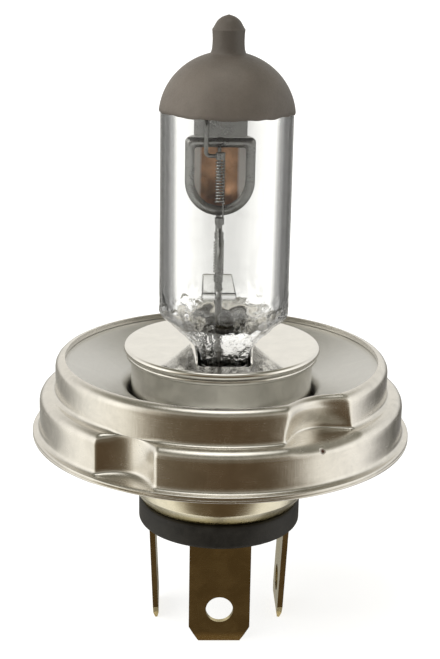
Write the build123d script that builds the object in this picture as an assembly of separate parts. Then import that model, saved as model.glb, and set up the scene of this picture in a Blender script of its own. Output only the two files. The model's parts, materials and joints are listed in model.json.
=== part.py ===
"""Dual-filament halogen headlight bulb on a stepped three-contact prefocus cap, in millimetres.

The origin is on the cap's axis in the seat plane, the flat ledge of the reference ring that
rests against the reflector. +Z points towards the glass tip, and the dipped-beam terminal lies
on the -Y side.
"""
from build123d import *
from math import asin, degrees, sqrt
import os

# Reference ring, pressed from one sheet
pilot_radius = 20.5          # cylinder that enters the reflector opening
pilot_height = 4.2           # seat plane to the top of the rim
seat_width = 2.0             # seat ledge, from the pilot out to the skirt
skirt_depth = 5.6            # seat plane to the underside of the lip
ring_sheet = 0.7
lip_width = 0.9              # how far the hemmed lip stands out of the skirt
lip_thickness = 0.9
lip_round = 0.3
rim_return = 1.2             # width of the rim folded in over the dish plate
rim_bend = 0.65              # outside bend radius of the rim
seat_bend = 0.9              # outside bend radius between seat and skirt
pilot_notch_angle = 32.0     # from the -Y direction towards +X
pilot_notch_punch = 5.5      # radius of the round punch
pilot_notch_low = 2.7        # how deep it presses at the seat plane
pilot_notch_high = 0.3       # and at the top of the rim
notch_coining = 0.1          # how far the punch sinks the seat in front of the pilot's notch
skirt_notch_angle = -31.0
skirt_notch_punch = 4.3
skirt_notch_margin = 0.45    # seat left between the skirt's notch and the pilot
notch_corner = 1.1           # outside radius where the skirt's notch meets the round wall

# Dish plate inside the ring
dish_sheet = 0.6
dish_brim = 0.9              # flat edge gripped under the folded rim
dish_drop = 3.1              # fall of the cone from brim to hub
hub_depth = 3.2              # seat plane to the lower end of the hub tube

# Collar that carries the capsule
sleeve_radius = 11.2
cap_overhang = 0.9           # cap's rolled edge beyond the sleeve
collar_top = 5.7             # height of the polished top over the seat plane
collar_sheet = 0.5
roll_height = 0.9            # height of the rolled edge
sleeve_rim = 0.6             # how far the sleeve's upper rim stands out
sleeve_rim_height = 0.65
sleeve_depth = 3.0           # seat plane to the sleeve's lower end
slot_side_gap = 0.95         # open gap beside the pinch in the cap's slot
slot_end_margin = 1.5        # cap left between the slot's ends and the sleeve
slot_corner = 0.8
slot_lip_height = 0.8        # edges bent up along the slot's long sides
slot_lip_margin = 1.2        # plain stretch at each end of a lip

# Quartz capsule
capsule_offset = 0.2         # along X from the cap's axis
glass_radius = 7.9
glass_wall = 1.3
glass_shoulder = 8.6         # height where the tube starts to close towards the pinch
dome_start = 33.7            # centre of the hemispherical dome
tip_radius = 1.8            # exhaust tip
tip_length = 3.8             # exhaust tip above the dome
tip_round = 0.8              # its rounded end, as a share of its radius
cavity_floor = 8.9
cavity_floor_rise = 2.2      # radius between the cavity's floor and its wall
pinch_thickness = 4.4        # along X
pinch_width = 12.0           # along Y
pinch_top = 6.4
pinch_bottom = -5.5
pinch_corner = 0.9
coating_thickness = 0.2
coating_setback = 0.9        # opaque coating's lower edge above the dome's centre

# Lead wires and sealing foils
mount_offset = -0.6          # filament mount along X from the cap's axis
lead_radius = 0.35
lead_pitch = 3.6             # spacing of the three leads along Y
lead_rise = 0.6              # dipped lead's straight run below its clamp
dipped_lead_knee = 1.0       # main coil's upper clamp down to where the dipped lead slants forward
common_lead_knee = 1.0       # bridge to where the common lead slants back
common_lead_slant = 3.0      # height of that slanted run
inner_lead_bend = 1.2        # bend radius of the leads inside the envelope
clamp_bend = 0.4             # and where the dipped lead enters its clamp
foil_width = 2.6
foil_thickness = 0.1
foil_top = 4.6
foil_bottom = -2.0

# Filaments
filament_wire_radius = 0.11
filament_pitch = 0.36
main_coil_radius = 0.55
main_coil_rise = 1.3         # bridge's top to the main coil
main_coil_turns = 11
dipped_coil_radius = 0.5
dipped_coil_rise = 1.8       # shield's lower end to the dipped coil
dipped_coil_turns = 14
dipped_coil_y = -0.8         # dipped filament's axis, ahead of the shield's rim
clamp_radius = 0.45
clamp_height = 0.8
dipped_tail = 1.8            # straight wire from the dipped coil down to its clamp
main_tail = 0.3              # straight wire at each end of the main coil
upper_tail = 0.2             # straight wire above the dipped coil

# Dipping shield and bracket
shield_clearance = 2.35      # room behind the shield for the common lead
shield_below_dome = 2.5      # shield's flat top below the dome's centre
shield_height = 9.4
shield_front = 0.4           # Y of the shield's open rim
shield_sheet = 0.25
shield_rim = 0.9             # width of the flat rim round the opening
bracket_setback = 1.05       # bracket narrower than the shield at each side
bracket_height = 2.2
bracket_sheet = 0.35
bracket_gap = 0.1            # bracket above the shield's top
feed_radius = 0.25           # wire from the bracket to the dipped coil's upper end
feed_side = 1.7              # how far that wire stands to the side
feed_drop = 0.3              # its upper end below the bracket's top
feed_bend = 0.5

# Quartz bridge that spaces the leads
bridge_width = 4.0
bridge_height = 0.9
bridge_rise = 3.7            # cavity's floor to the bridge
bridge_overhang = 1.1        # bridge beyond the outer leads

# Pinch clip and its carrier
clip_sheet = 0.4
clip_top = 4.6
carrier_sheet = 0.4

# Base shell and insulator
shell_step = 0.25            # shell drawn in from the hub's outer radius
shell_sheet = 0.4
shell_bend = 4.8             # radius that draws the shell in at its lower end
shell_draw = 1.75            # how far the lower edge is drawn in
shell_bottom = -14.4
lap_top = -0.8               # the shell's widened upper end, lapped over the hub
lap_swage = 0.7              # height of the step below the lap
insulator_step = 0.35        # insulator beyond the shell's lower edge
insulator_thickness = 3.05
insulator_round = 0.5
plug_height = 2.2            # part of the insulator inside the shell

# Blade terminals
blade_width = 7.6
blade_thickness = 0.7
blade_length = 13.5
blade_tip_chamfer = 2.0      # height of the corner cut at the blade's end
blade_tip_cut = 1.2          # width of that cut
blade_tip_bevel = 0.9        # height of the thinned end
blade_tip_thickness = 0.3
blade_hole_radius = 1.7
blade_hole_height = 4.4      # hole centre above the blade's end
shank_width = 3.4            # narrower part through the insulator
front_blade_inset = 2.5      # insulator's edge to the dipped terminal's mid plane
side_blade_inset = 1.7       # and to each side terminal's mid plane
side_blade_shift = 0.9       # side terminals' centre line towards +Y
side_blade_lean = 2.5        # degrees that the side blades lean in
foot_width = 3.4
foot_length = 4.9            # from the blade's mid plane inwards
foot_thickness = 0.7
rivet_inset = 1.7            # blade's mid plane to the rivet
rivet_radius = 0.6
rivet_depth = 2.6            # rivet below the foot
rivet_head_radius = 0.95
rivet_head_height = 0.4
lead_inset = 3.8             # blade's mid plane to the lead's hole
lead_tail = 0.5              # lead below its foot, in the insulator's pocket
solder_radius = 0.8
solder_height = 0.6
lead_knee = 2.4              # outer lead's straight run above its solder joint
lead_exit = 0.8              # outer lead's straight run below the pinch
lead_bend = 0.8
sleeve_wall = 0.3
sleeve_start = 0.25          # share of the slanted run left bare at each end of a sleeve
edge_round = 1 / 3           # rounding of a bar's or rim's edges, as a share of its height
bead_round = 0.6             # rounding of a rivet's head or solder bead, as a share of its height
gap = 0.05                   # assembly clearance used throughout
overcut = 1.0                # how far a cutting tool runs past what it cuts

# Sizes worked out from those above
skirt_radius = pilot_radius + seat_width
lip_radius = skirt_radius + lip_width
rim_opening = pilot_radius - rim_return
rim_underside = pilot_height - ring_sheet
hub_inner = sleeve_radius + gap
hub_outer = hub_inner + dish_sheet
collar_radius = sleeve_radius + cap_overhang
cap_underside = collar_top - collar_sheet
slot_width = pinch_thickness + 2 * slot_side_gap
slot_length = 2 * (sleeve_radius - collar_sheet - slot_end_margin)
glass_inner = glass_radius - glass_wall
tip_top = dome_start + glass_radius + tip_length
coating_edge = dome_start + coating_setback
shield_top = dome_start - shield_below_dome
shield_bottom = shield_top - shield_height
shield_radius = glass_inner - shield_clearance
bracket_width = 2 * (shield_radius - bracket_setback)
bridge_bottom = cavity_floor + bridge_rise
main_coil_bottom = bridge_bottom + bridge_height + main_coil_rise
main_coil_top = main_coil_bottom + main_coil_turns * filament_pitch
dipped_coil_bottom = shield_bottom + dipped_coil_rise
dipped_coil_top = dipped_coil_bottom + dipped_coil_turns * filament_pitch
clip_half_x = pinch_thickness / 2 + gap + clip_sheet
clip_half_y = pinch_width / 2 + gap + clip_sheet
clip_bottom = carrier_sheet - sleeve_depth
shell_radius = hub_outer - shell_step
bend_fall = sqrt(2 * shell_bend * shell_draw - shell_draw ** 2)
bend_centre = shell_radius - shell_bend
shell_mouth = bend_centre + sqrt((shell_bend - shell_sheet) ** 2 - bend_fall ** 2)
insulator_radius = shell_radius - shell_draw + insulator_step
insulator_top = shell_bottom - gap
insulator_bottom = insulator_top - insulator_thickness
plug_top = insulator_top + plug_height
foot_top = plug_top + foot_thickness
blade_root = insulator_bottom - gap
front_blade_offset = insulator_radius - front_blade_inset
side_blade_offset = insulator_radius - side_blade_inset
bracket_bottom = shield_top + bracket_gap
feed_height = bracket_bottom + bracket_height - feed_drop
common_lead_y = shield_radius + lead_radius + gap
main_clamp_bottom = main_coil_bottom - main_tail - clamp_height
main_clamp_top = main_coil_top + main_tail
dipped_clamp_bottom = dipped_coil_bottom - dipped_tail - clamp_height
dipped_clamp_top = dipped_coil_top + upper_tail


def place(solid, name):
    """Write one sub-part."""
    solid.label = name
    export_step(solid, f"parts/{name}.step")


def disc(radius, low, high, x=0.0, y=0.0):
    """Upright cylinder between two heights."""
    return Pos(x, y, low) * Cylinder(radius, high - low, align=(Align.CENTER, Align.CENTER, Align.MIN))


def block(size_x, size_y, low, high, x=0.0, y=0.0):
    """Upright block between two heights, centred on x and y."""
    return Pos(x, y, low) * Box(size_x, size_y, high - low, align=(Align.CENTER, Align.CENTER, Align.MIN))


def turned(*outline):
    """Solid turned about Z from an outline of lines and arcs in (radius, height)."""
    return revolve(Plane.XZ * make_face(Curve() + list(outline)), Axis.Z)


def polygon_turned(points):
    """Solid turned from straight runs between (radius, height) points."""
    return turned(Polyline(*points, close=True))


def wire_along(points, radius, bends):
    """Round wire along straight runs joined by tangent arcs."""
    path = FilletPolyline(*points, radius=bends)
    return sweep(Plane(path @ 0, z_dir=path % 0) * Circle(radius), path)


# Reference ring
def pilot_punch(inset):
    """Slanted round punch that presses the pilot's notch, grown by inset."""
    low = pilot_radius - pilot_notch_low + pilot_notch_punch
    high = pilot_radius - pilot_notch_high + pilot_notch_punch
    slope = (high - low) / pilot_height
    below, above = -ring_sheet - overcut, pilot_height + overcut
    axis = Line((0, -low - slope * below, below), (0, -low - slope * above, above))
    tool = sweep(Plane(axis @ 0, z_dir=(0, 0, 1)) * Circle(pilot_notch_punch + inset), axis)
    return Rot(0, 0, pilot_notch_angle) * tool


def pilot_form(inset):
    """Pilot's outer skin without its notch, moved inwards by inset."""
    form = disc(pilot_radius - inset, -ring_sheet, pilot_height - inset)
    if inset < rim_bend:
        form = fillet(form.edges().group_by(Axis.Z)[-1], rim_bend - inset)
    return form


def skirt_outline(inset):
    """Skirt's round outline with its notch, moved inwards by inset."""
    centre = pilot_radius + skirt_notch_margin + skirt_notch_punch
    notch = Rot(0, 0, skirt_notch_angle) * Pos(0, -centre, 0) * Circle(skirt_notch_punch + inset)
    outline = Circle(skirt_radius - inset) - notch
    corners = outline.vertices().filter_by(
        lambda v: abs(sqrt(v.X ** 2 + v.Y ** 2) - skirt_radius + inset) < gap)
    return fillet(corners.sort_by(Axis.Y)[:2], notch_corner - inset)


def skirt_form(inset):
    """Skirt's outer skin, moved inwards by inset."""
    form = extrude(Pos(0, 0, -skirt_depth) * skirt_outline(inset), skirt_depth - inset)
    return fillet(form.edges().group_by(Axis.Z)[-1], seat_bend - inset)


def reference_ring():
    lip = disc(lip_radius, -skirt_depth, lip_thickness - skirt_depth)
    lip = fillet(lip.edges(), lip_round)
    above_seat = disc(lip_radius, -notch_coining, pilot_height + overcut)
    ring = skirt_form(0) + pilot_form(0) + lip - (pilot_punch(0) & above_seat)
    ring -= skirt_form(ring_sheet)
    ring -= pilot_form(ring_sheet) - pilot_punch(ring_sheet)
    return ring - disc(rim_opening, rim_underside - overcut, pilot_height + overcut)


# Dish plate
def dish_plate():
    brim_outer = pilot_radius - ring_sheet - gap
    brim_inner = brim_outer - dish_brim
    cone_foot = rim_underside - dish_drop
    top = [(brim_outer, rim_underside), (brim_inner, rim_underside),
           (hub_outer, cone_foot), (hub_inner, cone_foot)]
    low = [(hub_inner, -hub_depth), (hub_outer, -hub_depth), (hub_outer, cone_foot - dish_sheet),
           (brim_inner, rim_underside - dish_sheet), (brim_outer, rim_underside - dish_sheet)]
    dish = polygon_turned(top + low)
    return dish - pilot_punch(ring_sheet + gap)


# Collar
def collar_cap():
    roll = roll_height / 2
    flat = collar_radius - roll
    low = collar_top - roll_height
    tube = sleeve_radius + gap
    cap = turned(
        Polyline((0, cap_underside), (0, collar_top), (flat, collar_top)),
        CenterArc((flat, collar_top - roll), roll, -90, 180),
        Polyline((flat, low), (tube, low), (tube, cap_underside), (0, cap_underside)))
    slot = RectangleRounded(slot_width, slot_length, slot_corner)
    lip_length = slot_length - 2 * slot_lip_margin
    for side in (-1, 1):
        lip_x = side * (slot_width + collar_sheet) / 2
        lip = block(collar_sheet, lip_length, cap_underside, collar_top + slot_lip_height, lip_x)
        cap += fillet(lip.edges().group_by(Axis.Z)[-1].filter_by(Axis.Y), collar_sheet / 2 - gap)
    return cap - extrude(Pos(0, 0, cap_underside - overcut) * slot, collar_sheet + 2 * overcut)


def collar_sleeve():
    rim_top = collar_top - roll_height - gap
    sleeve = disc(sleeve_radius, -sleeve_depth, cap_underside)
    rim = disc(sleeve_radius + sleeve_rim, rim_top - sleeve_rim_height, rim_top)
    rim = fillet(rim.edges(), sleeve_rim_height * edge_round)
    bore = disc(sleeve_radius - collar_sheet, -sleeve_depth - overcut, cap_underside + overcut)
    return sleeve + rim - bore


def pinch_clip():
    outer = RectangleRounded(2 * clip_half_x, 2 * clip_half_y, pinch_corner + clip_sheet)
    inner = RectangleRounded(2 * (clip_half_x - clip_sheet), 2 * (clip_half_y - clip_sheet), pinch_corner)
    return extrude(Pos(capsule_offset, 0, clip_bottom) * (outer - inner), clip_top - clip_bottom)


def clip_carrier():
    carrier = disc(sleeve_radius - collar_sheet, clip_bottom - carrier_sheet, clip_bottom)
    window = block(2 * (clip_half_x - clip_sheet), 2 * (clip_half_y - clip_sheet),
                   clip_bottom - overcut, clip_bottom + overcut)
    return carrier - Pos(capsule_offset, 0, 0) * window


# Quartz capsule
def glass_skin(outset):
    """Tube, dome and exhaust tip as one turned solid, grown by outset."""
    radius = glass_radius + outset
    dome = turned(
        Polyline((0, dome_start + radius), (0, glass_shoulder), (radius, glass_shoulder),
                 (radius, dome_start)),
        CenterArc((0, dome_start), radius, 0, 90))
    tip = disc(tip_radius + outset, dome_start, tip_top + outset)
    tip = fillet(tip.edges().group_by(Axis.Z)[-1], tip_radius * tip_round)
    return dome + tip


def glass_shoulder_form():
    """Solid quartz between the tube and the flat pinch: round, cut by two sloping planes."""
    foot = sqrt((pinch_thickness / 2) ** 2 + (pinch_width / 2) ** 2)
    bell = polygon_turned([(0, pinch_top), (foot, pinch_top),
                           (glass_radius, glass_shoulder), (0, glass_shoulder)])
    half = pinch_thickness / 2
    wide = glass_radius + overcut
    slab = Polyline((-half, pinch_top), (half, pinch_top), (wide, glass_shoulder),
                    (-wide, glass_shoulder), close=True)
    wedge = extrude(Plane.XZ * make_face(slab), wide, both=True)
    return bell & wedge


def glass_cavity():
    radius = glass_inner
    flat = radius - cavity_floor_rise
    return turned(
        Line((radius, cavity_floor + cavity_floor_rise), (radius, dome_start)),
        CenterArc((0, dome_start), radius, 0, 90),
        Polyline((0, dome_start + radius), (0, cavity_floor), (flat, cavity_floor)),
        CenterArc((flat, cavity_floor + cavity_floor_rise), cavity_floor_rise, -90, 90))


def lead_places():
    """The three leads' Y positions: dipped, main and common."""
    return [-lead_pitch, 0, lead_pitch]


def sealed_metal():
    """What the quartz is moulded round: foils and the ends of the leads."""
    metal = Part()
    for y in lead_places():
        metal += block(foil_thickness, foil_width, foil_bottom, foil_top, mount_offset, y)
        metal += disc(lead_radius, foil_top, cavity_floor + cavity_floor_rise, mount_offset, y)
        metal += disc(lead_radius, pinch_bottom - overcut, foil_bottom, mount_offset, y)
    return metal


def quartz_envelope():
    pinch = extrude(RectangleRounded(pinch_thickness, pinch_width, pinch_corner), pinch_top - pinch_bottom)
    body = glass_skin(0) + glass_shoulder_form() + Pos(0, 0, pinch_bottom) * pinch
    body -= glass_cavity()
    return Pos(capsule_offset, 0, 0) * body - sealed_metal()


def tip_coating():
    above = disc(2 * glass_radius, coating_edge, tip_top + overcut)
    return Pos(capsule_offset, 0, 0) * ((glass_skin(coating_thickness) & above) - glass_skin(0))


# Filament mount
def shield_outline(inset):
    """Front outline of the shield: flat top, straight sides, rounded lower end."""
    radius = shield_radius - inset
    nose = shield_bottom + shield_radius
    return make_face(Curve() + [
        Polyline((0, shield_top - inset), (radius, shield_top - inset), (radius, nose)),
        CenterArc((0, nose), radius, -90, 90),
        Line((0, shield_bottom + inset), (0, shield_top - inset))])


def half_space(y):
    """Everything of the shield's size that lies behind y."""
    size = 4 * shield_radius
    return Pos(0, y + size / 2, shield_bottom) * Box(size, size, 2 * size)


def dipping_shield():
    skin, hollow = [revolve(Plane.XZ * shield_outline(inset), Axis.Z) for inset in (0, shield_sheet)]
    window = Plane.XZ * shield_outline(shield_rim)
    mouth = Pos(0, shield_front, 0) * extrude(window + mirror(window, Plane.YZ), 2 * shield_sheet, both=True)
    cup = (skin & half_space(shield_front)) - (hollow & half_space(shield_front + shield_sheet)) - mouth
    return Pos(mount_offset, 0, 0) * cup


def bracket_y():
    return shield_front + bracket_sheet / 2


def shield_bracket():
    plate = block(bracket_width, bracket_sheet, bracket_bottom, bracket_bottom + bracket_height,
                  mount_offset, bracket_y())
    return fillet(plate.edges().filter_by(Axis.Y), bracket_sheet)


def coil(radius, turns, bottom, y):
    helix = Helix(filament_pitch, turns * filament_pitch, radius)
    wire = sweep(Plane(helix @ 0, z_dir=helix % 0) * Circle(filament_wire_radius), helix, is_frenet=True)
    return Pos(mount_offset, y, bottom) * wire


def main_filament():
    return coil(main_coil_radius, main_coil_turns, main_coil_bottom, 0)


def dipped_filament():
    return coil(dipped_coil_radius, dipped_coil_turns, dipped_coil_bottom, dipped_coil_y)


def clamp(low, y, coil_radius, tail_low, tail_high):
    """Crimp tube on a lead's end, with the straight tail of the coil that it grips."""
    body = disc(clamp_radius + filament_wire_radius, low, low + clamp_height, mount_offset, y)
    return body + disc(filament_wire_radius, tail_low, tail_high, mount_offset + coil_radius, y)


def main_lower_clamp():
    low = main_clamp_bottom
    offset = main_coil_radius - filament_wire_radius
    return clamp(low, 0, offset, low, main_coil_bottom)


def main_upper_clamp():
    low = main_clamp_top
    offset = main_coil_radius - filament_wire_radius
    return clamp(low, 0, offset, main_coil_top, low + clamp_height)


def dipped_lower_clamp():
    low = dipped_clamp_bottom
    offset = dipped_coil_radius - filament_wire_radius
    return clamp(low, dipped_coil_y, offset, low, dipped_coil_bottom)


def dipped_upper_clamp():
    low = dipped_clamp_top
    offset = dipped_coil_radius - filament_wire_radius
    return clamp(low, dipped_coil_y, offset, dipped_coil_top, low + clamp_height)


def dipped_lead():
    """From its foil up to the dipped coil's lower clamp."""
    x = mount_offset
    y = dipped_coil_y
    end = dipped_clamp_bottom
    points = [(x, -lead_pitch, foil_top), (x, -lead_pitch, main_clamp_top - dipped_lead_knee),
              (x, y, end - lead_rise), (x, y, end)]
    return wire_along(points, lead_radius, [inner_lead_bend, clamp_bend])


def main_lead():
    """Straight from its foil up to the main coil's lower clamp."""
    return disc(lead_radius, foil_top, main_clamp_bottom, mount_offset)


def common_lead():
    """From its foil up behind the shield, then forward to the bracket."""
    x = mount_offset
    back = common_lead_y
    top = bracket_bottom + bracket_height / 2
    above_bridge = bridge_bottom + bridge_height + common_lead_knee
    points = [(x, lead_pitch, foil_top), (x, lead_pitch, above_bridge),
              (x, back, above_bridge + common_lead_slant),
              (x, back, top), (x, shield_front + bracket_sheet, top)]
    return wire_along(points, lead_radius, inner_lead_bend)


def branch_wire():
    """From the main coil's upper clamp back to the common lead."""
    length = common_lead_y - lead_radius - clamp_radius - filament_wire_radius
    height = main_clamp_top + clamp_height / 2
    branch = Rot(-90, 0, 0) * disc(feed_radius, 0, length)
    return Pos(mount_offset, clamp_radius + filament_wire_radius, height) * branch


def feed_wire():
    """From the bracket's front down beside the dipped coil to its upper clamp."""
    side = mount_offset - feed_side
    y = dipped_coil_y
    height = dipped_clamp_top + clamp_height / 2
    points = [(side, shield_front, feed_height), (side, y, feed_height), (side, y, height),
              (mount_offset - clamp_radius - filament_wire_radius, y, height)]
    return wire_along(points, feed_radius, feed_bend)


def quartz_bridge():
    length = 2 * (lead_pitch + bridge_overhang)
    bar = block(bridge_width, length, bridge_bottom, bridge_bottom + bridge_height, mount_offset)
    bar = fillet(bar.edges(), bridge_height * edge_round)
    for y in lead_places():
        bar -= disc(lead_radius, bridge_bottom - overcut, bridge_bottom + 2 * overcut, mount_offset, y)
    return bar


def sealing_foil(y):
    return block(foil_thickness, foil_width, foil_bottom, foil_top, mount_offset, y)


# Base
def base_shell():
    lap_inner = hub_outer + gap
    lap_outer = lap_inner + shell_sheet
    inner = shell_radius - shell_sheet
    lap_end = -hub_depth - gap
    waist = shell_bottom + bend_fall
    swage_end = lap_end - lap_swage
    tilt = degrees(asin(bend_fall / shell_bend))
    inner_tilt = degrees(asin(bend_fall / (shell_bend - shell_sheet)))
    return turned(
        Polyline((inner, waist), (inner, swage_end), (lap_inner, lap_end), (lap_inner, lap_top),
                 (lap_outer, lap_top), (lap_outer, lap_end), (shell_radius, swage_end), (shell_radius, waist)),
        CenterArc((bend_centre, waist), shell_bend, -tilt, tilt),
        Line((shell_radius - shell_draw, shell_bottom), (shell_mouth, shell_bottom)),
        CenterArc((bend_centre, waist), shell_bend - shell_sheet, -inner_tilt, inner_tilt))


def insulator():
    body = fillet(disc(insulator_radius, insulator_bottom, insulator_top).edges(), insulator_round)
    body += disc(shell_mouth - gap, insulator_top - overcut, plug_top)
    for where in terminal_places():
        slot = block(shank_width + 2 * gap, blade_thickness + 2 * gap,
                     insulator_bottom - overcut, plug_top + overcut)
        rivet_hole = disc(rivet_radius, plug_top - rivet_depth, plug_top + overcut, 0, rivet_inset)
        pocket = disc(lead_radius + 2 * gap, plug_top - lead_tail - gap, plug_top + overcut, 0, lead_inset)
        body -= where * (slot + rivet_hole + pocket)
    return body


def terminal_places():
    """Frames of the dipped, main and common terminals: blade mid plane, with +Y towards the cap's axis."""
    return [Pos(0, -front_blade_offset, 0),
            Pos(side_blade_offset, side_blade_shift, 0) * Rot(0, 0, 90),
            Pos(-side_blade_offset, side_blade_shift, 0) * Rot(0, 0, -90)]


def blade():
    """Blade below the insulator, with cut corners, thinned end and detent hole."""
    half = blade_width / 2
    low = -blade_length
    outline = Polyline((-half, 0), (half, 0), (half, low + blade_tip_chamfer), (half - blade_tip_cut, low),
                       (blade_tip_cut - half, low), (-half, low + blade_tip_chamfer), close=True)
    plate = extrude(Plane.XZ * make_face(outline), blade_thickness / 2, both=True)
    hole = Plane.XZ * Pos(0, low + blade_hole_height) * Circle(blade_hole_radius)
    hole = extrude(hole, blade_thickness, both=True)
    thick, thin = blade_thickness / 2, blade_tip_thickness / 2
    side = Polyline((-thick, overcut), (thick, overcut), (thick, low + blade_tip_bevel), (thin, low),
                    (-thin, low), (-thick, low + blade_tip_bevel), close=True)
    return (plate - hole) & extrude(Plane.YZ * make_face(side), blade_width, both=True)


def terminal(lean):
    shank = block(shank_width, blade_thickness, blade_root - gap, foot_top)
    foot = block(foot_width, foot_length + blade_thickness / 2, plug_top, foot_top, 0,
                 (foot_length - blade_thickness / 2) / 2)
    foot -= disc(rivet_radius, plug_top - overcut, foot_top + overcut, 0, rivet_inset)
    foot -= disc(lead_radius + gap, plug_top - overcut, foot_top + overcut, 0, lead_inset)
    return shank + foot + Pos(0, 0, blade_root) * Rot(lean, 0, 0) * blade()


def rivet():
    head = disc(rivet_head_radius, foot_top, foot_top + rivet_head_height, 0, rivet_inset)
    head = fillet(head.edges().group_by(Axis.Z)[-1], rivet_head_height * bead_round)
    return head + disc(rivet_radius, plug_top - rivet_depth, foot_top, 0, rivet_inset)


def solder_joint():
    bead = disc(solder_radius, foot_top, foot_top + solder_height, 0, lead_inset)
    bead = fillet(bead.edges().group_by(Axis.Z)[-1], solder_height * bead_round)
    return bead - disc(lead_radius, foot_top - overcut, foot_top + 2 * overcut, 0, lead_inset)


def outer_lead_points(y, where):
    """From a foil's lower end down to the hole in its terminal's foot."""
    hole = (where * Pos(0, lead_inset, 0)).position
    return [(mount_offset, y, foil_bottom), (mount_offset, y, pinch_bottom - lead_exit),
            (hole.X, hole.Y, foot_top + lead_knee), (hole.X, hole.Y, plug_top - lead_tail)]


def outer_lead(y, where):
    return wire_along(outer_lead_points(y, where), lead_radius, lead_bend)


def lead_sleeve(y, where):
    """Insulating sleeve on the slanted stretch of an outer lead."""
    _, upper, lower, _ = [Vector(*point) for point in outer_lead_points(y, where)]
    span = lower - upper
    line = Line(upper + span * sleeve_start, upper + span * (1 - sleeve_start))
    return sweep(Plane(line @ 0, z_dir=line % 0) * (Circle(lead_radius + sleeve_wall) - Circle(lead_radius)), line)


def main():
    os.makedirs("parts", exist_ok=True)
    for build in (reference_ring, dish_plate, collar_cap, collar_sleeve, pinch_clip, clip_carrier,
                  quartz_envelope, tip_coating, dipping_shield, shield_bracket, main_filament, dipped_filament,
                  main_lower_clamp, main_upper_clamp, dipped_lower_clamp, dipped_upper_clamp,
                  main_lead, dipped_lead, common_lead, branch_wire, feed_wire, quartz_bridge,
                  base_shell, insulator):
        place(build(), build.__name__)
    circuits = zip(("dipped", "main", "common"), lead_places(), terminal_places())
    for name, y, where in circuits:
        lean = 0 if name == "dipped" else side_blade_lean
        place(sealing_foil(y), f"{name}_foil")
        place(outer_lead(y, where), f"{name}_outer_lead")
        place(lead_sleeve(y, where), f"{name}_lead_sleeve")
        place(where * terminal(lean), f"{name}_terminal")
        place(where * rivet(), f"{name}_rivet")
        place(where * solder_joint(), f"{name}_solder_joint")


main()
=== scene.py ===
import json
from math import atan2, cos, hypot, pi, radians, sin, sqrt

import bmesh
import bpy
from bpy.props import FloatProperty, FloatVectorProperty, PointerProperty
from mathutils import Matrix, Vector, noise


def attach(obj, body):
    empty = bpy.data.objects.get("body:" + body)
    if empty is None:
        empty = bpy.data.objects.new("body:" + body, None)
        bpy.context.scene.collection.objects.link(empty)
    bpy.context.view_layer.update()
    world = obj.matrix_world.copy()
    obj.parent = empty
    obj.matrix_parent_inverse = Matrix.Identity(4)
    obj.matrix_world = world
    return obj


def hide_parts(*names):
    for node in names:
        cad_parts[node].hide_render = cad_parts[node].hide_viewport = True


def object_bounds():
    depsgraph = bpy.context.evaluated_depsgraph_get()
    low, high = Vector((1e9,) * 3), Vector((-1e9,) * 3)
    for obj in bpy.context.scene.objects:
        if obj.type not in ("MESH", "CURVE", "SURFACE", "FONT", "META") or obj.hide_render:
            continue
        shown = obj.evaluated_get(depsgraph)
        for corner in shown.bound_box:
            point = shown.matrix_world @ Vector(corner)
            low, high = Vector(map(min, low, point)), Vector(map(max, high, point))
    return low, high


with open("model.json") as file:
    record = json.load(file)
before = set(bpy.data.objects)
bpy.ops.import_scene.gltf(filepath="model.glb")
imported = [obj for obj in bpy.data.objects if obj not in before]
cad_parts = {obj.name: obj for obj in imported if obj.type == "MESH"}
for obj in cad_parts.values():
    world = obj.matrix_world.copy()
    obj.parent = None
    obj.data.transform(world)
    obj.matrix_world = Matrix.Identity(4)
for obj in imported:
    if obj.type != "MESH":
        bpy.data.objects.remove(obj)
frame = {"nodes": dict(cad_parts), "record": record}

cad_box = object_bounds()

bl_info = {
    "name": "Twin-filament headlight bulb",
    "version": (1, 0, 0),
    "blender": (4, 5, 0),
    "location": "View3D > Sidebar > Bulb",
    "description": "Models the ring, collar, capsule, filament mount and base of a halogen headlight bulb",
    "category": "Object",
}

BODY = "root"
FLOOR_Z = cad_box[0].z
MOUNTS = {mount["name"]: mount for mount in frame["record"]["mounts"]}
PILOT_MM = MOUNTS["pilot"]["dims"]["r_mm"]
CRISP = 0.0001      # rounding of a cut or tightly folded edge
GAP = 0.00005       # clearance between pieces that touch


def length(name, text, millimetres):
    """A size in metres, given in millimetres."""
    return FloatProperty(name=name, description=text, default=millimetres / 1000, unit="LENGTH",
                         precision=5)


def angle(name, text, degrees):
    return FloatProperty(name=name, description=text, default=radians(degrees), subtype="ANGLE")


def share(name, text, value):
    return FloatProperty(name=name, description=text, default=value, min=0, max=1, subtype="FACTOR")


def colour(name, text, rgb):
    return FloatVectorProperty(name=name, description=text, default=rgb, min=0, max=1, subtype="COLOR")


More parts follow.
